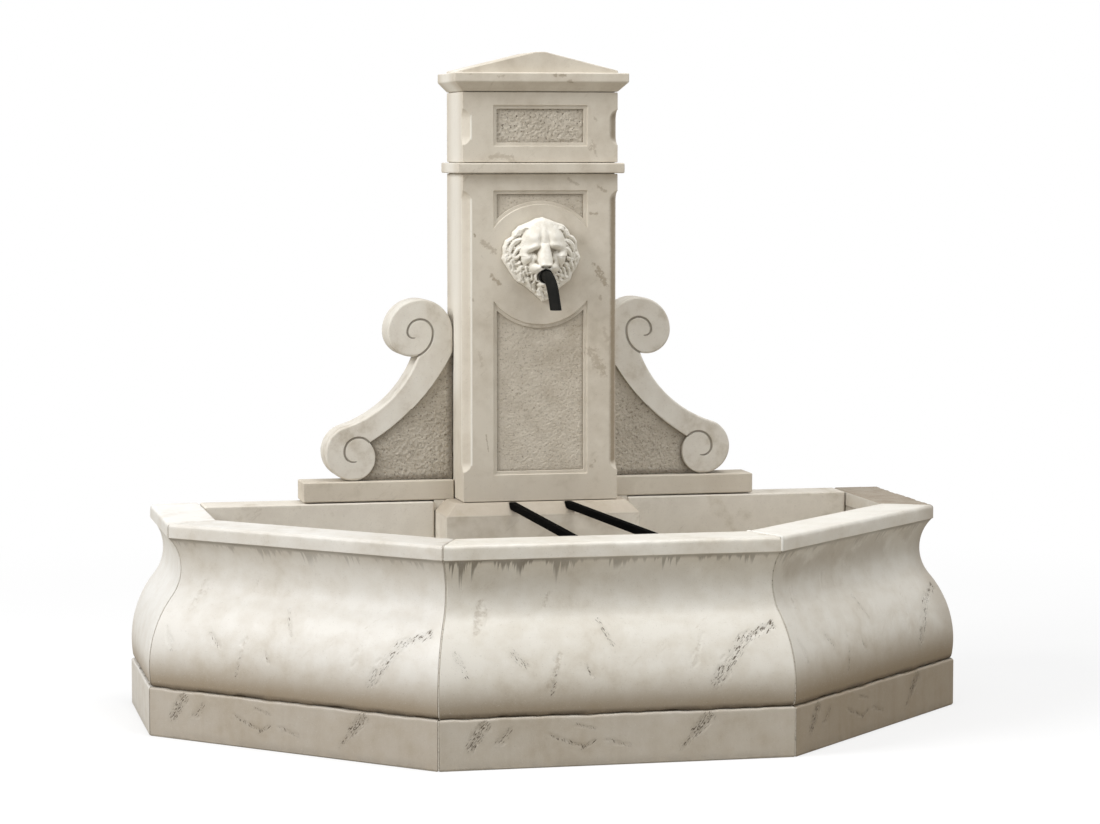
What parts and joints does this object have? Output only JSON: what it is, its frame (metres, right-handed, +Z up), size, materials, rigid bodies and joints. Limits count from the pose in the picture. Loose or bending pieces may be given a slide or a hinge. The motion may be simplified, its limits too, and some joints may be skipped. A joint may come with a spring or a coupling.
{
  "type": "garden fountain",
  "caption": "Wall fountain in cast stone: a half-octagon basin of moulded panels, a pillar with a lion mask and bent spout, scroll brackets, bucket bars, pump, riser and overflow.",
  "frame": {"origin": "on the ground at the centre of the bounding box, midway between the front plinth face and the wall face", "axes": "+X to the right along the wall as seen from the front, +Y back towards the wall, +Z up"},
  "size_m": [2.3, 1.2, 1.861],
  "materials": {
    "cast_stone": "weathered cast stone, softly worn edges, rough sunk fields",
    "mask_stone": "pale cream cast stone, fine grain",
    "mortar": "raked lime mortar",
    "black_iron": "satin black paint on iron",
    "stainless": "plain stainless steel",
    "grey_plastic": "grey pipe plastic",
    "brass": "dull cast brass",
    "chrome_ball": "polished",
    "lever_paint": "dipped lever",
    "pump_plastic": "moulded black plastic",
    "rubber": "matt rubber",
    "shaft_ceramic": "ground ceramic"
  },
  "bodies": {
    "fountain": {"basin_floor": "cast_stone", "front_panel": "cast_stone", "left_front_panel": "cast_stone", "right_front_panel": "cast_stone", "left_side_panel": "cast_stone", "right_side_panel": "cast_stone", "left_back_panel": "cast_stone", "right_back_panel": "cast_stone", "pedestal": "cast_stone", "shaft": "cast_stone", "band_course": "cast_stone", "frieze_block": "cast_stone", "cornice_cap": "cast_stone", "left_bracket_base": "cast_stone", "right_bracket_base": "cast_stone", "left_bracket": "cast_stone", "right_bracket": "cast_stone", "lion_mask": "mask_stone", "basin_joints": "mortar", "bed_joints": "mortar", "bracket_beds": "mortar", "spout_pipe": "black_iron", "spout_collar": "black_iron", "left_bucket_bar": "black_iron", "right_bucket_bar": "black_iron", "column_dowels": "stainless", "bracket_dowels": "stainless", "mask_studs": "stainless", "riser_clip_screws": "stainless", "pump_screws": "stainless", "riser_lower_pipe": "grey_plastic", "riser_upper_pipe": "grey_plastic", "spout_elbow": "grey_plastic", "riser_clips": "grey_plastic", "valve_body": "brass", "drain_fitting": "brass", "drain_nut": "brass", "pump_motor_housing": "pump_plastic", "pump_chamber": "pump_plastic", "pump_intake_cover": "pump_plastic", "cable_gland": "pump_plastic", "spout_seal": "rubber", "drain_seal": "rubber", "pump_feet": "rubber", "pump_shaft": "shaft_ceramic"},
    "impeller": {"pump_impeller": "pump_plastic"},
    "valve_handle": {"valve_ball": "chrome_ball", "valve_stem": "stainless", "valve_lever": "lever_paint", "valve_lever_nut": "stainless"},
    "standpipe": {"overflow_standpipe": "grey_plastic"},
    "strainer": {"pump_strainer": "pump_plastic"}
  },
  "joints": [
    {"name": "impeller_spin", "type": "hinge", "parent": "fountain", "child": "impeller", "pos_m": [0, 0.48, 0.135], "axis": [1, 0, 0], "continuous": true},
    {"name": "valve_turn", "type": "hinge", "parent": "fountain", "child": "valve_handle", "pos_m": [0, 0.48, 0.365], "axis": [1, 0, 0], "range_deg": [0, 90]},
    {"name": "standpipe_lift", "type": "slide", "parent": "fountain", "child": "standpipe", "axis": [0, 0, 1], "range_m": [0, 0.06]},
    {"name": "strainer_pull", "type": "slide", "parent": "fountain", "child": "strainer", "axis": [1, 0, 0], "range_m": [0, 0.05]}
  ]
}
